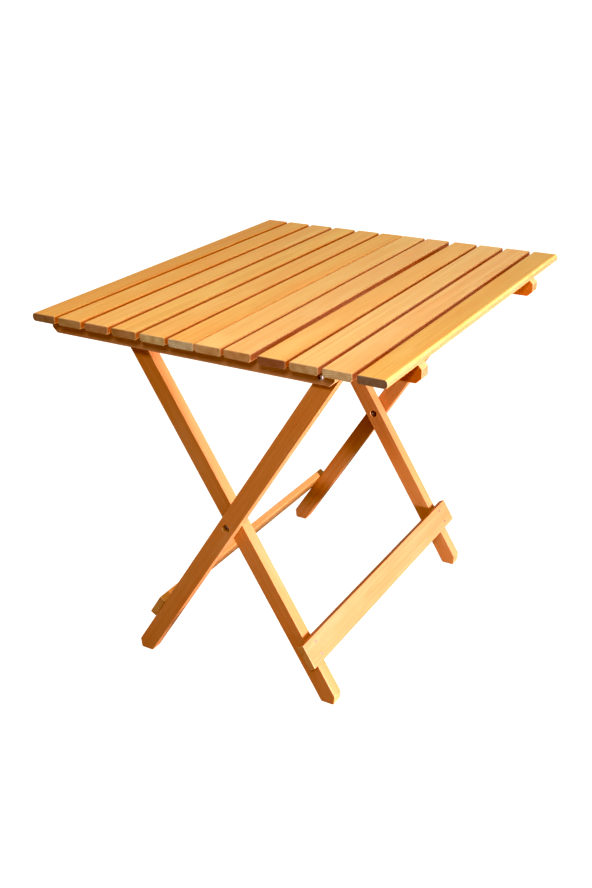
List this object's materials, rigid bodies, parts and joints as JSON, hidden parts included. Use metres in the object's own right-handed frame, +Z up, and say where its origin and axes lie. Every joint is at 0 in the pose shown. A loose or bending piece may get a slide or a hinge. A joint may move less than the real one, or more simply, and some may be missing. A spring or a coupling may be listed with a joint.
{
  "type": "folding picnic table",
  "caption": "Slatted wooden folding table: a rectangular top in two leaves that slide apart as the scissored leg frames beneath them close.",
  "frame": {"origin": "on the ground, under the middle of the top", "axes": "+Z up; +Y along the slats, towards the rear; +X across the slats, towards the right leaf"},
  "size_m": [0.7, 0.8, 0.72],
  "materials": {
    "slat_wood": "satin lacquer",
    "leg_wood": "satin lacquer",
    "batten_wood": "satin lacquer",
    "stretcher_wood": "satin lacquer",
    "zinc_steel": "zinc plated"
  },
  "bodies": {
    "outer_legs": {"outer_leg_front": "leg_wood", "outer_leg_rear": "leg_wood", "outer_stretcher": "stretcher_wood", "outer_nail_front_upper": "zinc_steel", "outer_nail_front_lower": "zinc_steel", "outer_nail_rear_upper": "zinc_steel", "outer_nail_rear_lower": "zinc_steel", "scissor_bolt_front": "zinc_steel", "scissor_washer_front": "zinc_steel", "scissor_nut_front": "zinc_steel", "scissor_bolt_rear": "zinc_steel", "scissor_washer_rear": "zinc_steel", "scissor_nut_rear": "zinc_steel"},
    "inner_legs": {"inner_leg_front": "leg_wood", "inner_leg_rear": "leg_wood", "inner_stretcher": "stretcher_wood", "inner_nail_front_upper": "zinc_steel", "inner_nail_front_lower": "zinc_steel", "inner_nail_rear_upper": "zinc_steel", "inner_nail_rear_lower": "zinc_steel"},
    "left_leaf": {"slat_01": "slat_wood", "slat_02": "slat_wood", "slat_03": "slat_wood", "slat_04": "slat_wood", "slat_05": "slat_wood", "slat_06": "slat_wood", "left_batten_front": "batten_wood", "left_batten_rear": "batten_wood", "left_pivot_bolt_front": "zinc_steel", "left_pivot_washer_front": "zinc_steel", "left_pivot_nut_front": "zinc_steel", "left_pivot_bolt_rear": "zinc_steel", "left_pivot_washer_rear": "zinc_steel", "left_pivot_nut_rear": "zinc_steel"},
    "right_leaf": {"slat_07": "slat_wood", "slat_08": "slat_wood", "slat_09": "slat_wood", "slat_10": "slat_wood", "slat_11": "slat_wood", "slat_12": "slat_wood", "right_batten_front": "batten_wood", "right_batten_rear": "batten_wood", "right_pivot_bolt_front": "zinc_steel", "right_pivot_washer_front": "zinc_steel", "right_pivot_nut_front": "zinc_steel", "right_pivot_bolt_rear": "zinc_steel", "right_pivot_washer_rear": "zinc_steel", "right_pivot_nut_rear": "zinc_steel"}
  },
  "joints": [
    {"name": "leg_fold", "type": "hinge", "parent": "outer_legs", "child": "inner_legs", "pos_m": [-0.006, 0, 0.337], "axis": [0, 1, 0], "range_deg": [0, 63.8]},
    {"name": "left_leaf_pivot", "type": "hinge", "parent": "outer_legs", "child": "left_leaf", "pos_m": [0.21, 0, 0.6835], "axis": [0, 1, 0], "range_deg": [0, 31.9]},
    {"name": "right_leaf_pivot", "type": "hinge", "parent": "inner_legs", "child": "right_leaf", "pos_m": [-0.222, 0, 0.6835], "axis": [0, 1, 0], "range_deg": [-31.9, 0]}
  ],
  "couplings": [
    {"joint": "left_leaf_pivot", "follows": "leg_fold", "ratio": 0.5},
    {"joint": "right_leaf_pivot", "follows": "leg_fold", "ratio": -0.5}
  ]
}
